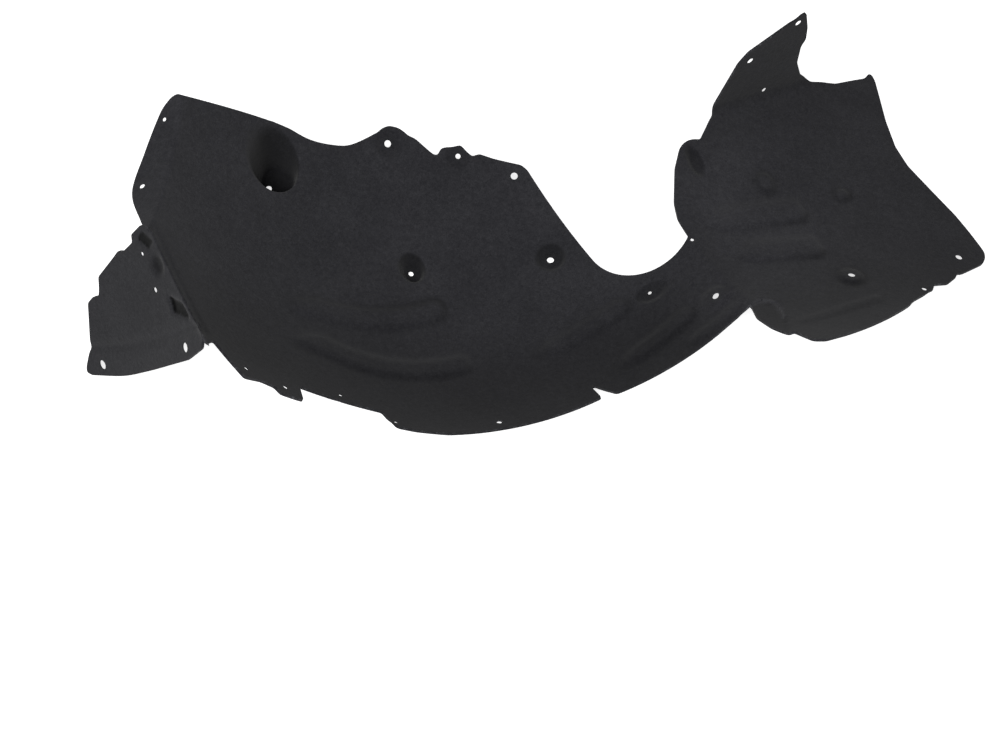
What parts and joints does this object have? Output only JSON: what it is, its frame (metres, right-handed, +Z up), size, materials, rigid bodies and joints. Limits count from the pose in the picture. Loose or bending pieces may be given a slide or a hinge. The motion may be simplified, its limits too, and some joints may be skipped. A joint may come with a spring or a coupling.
{
  "type": "mudguard",
  "caption": "Moulded felt mudguard liner for a car wheel arch: a dished shell with a folded flap, a neck beside a strut notch and a fan-shaped end panel, held by clip holes.",
  "frame": {"origin": "bottom centre of the bounding box as the liner lies on the floor with its wheel side up", "axes": "+X along the liner from the folded flap to the fan-shaped end panel, +Y from the outer wing edge to the inner edge, +Z up out of the wheel side"},
  "size_m": [1.0006, 0.5298, 0.2297],
  "materials": {
    "felt": "matte charcoal needle felt, compression moulded"
  },
  "bodies": {
    "root": {"wheel_arch_liner": "felt"}
  },
  "joints": []
}
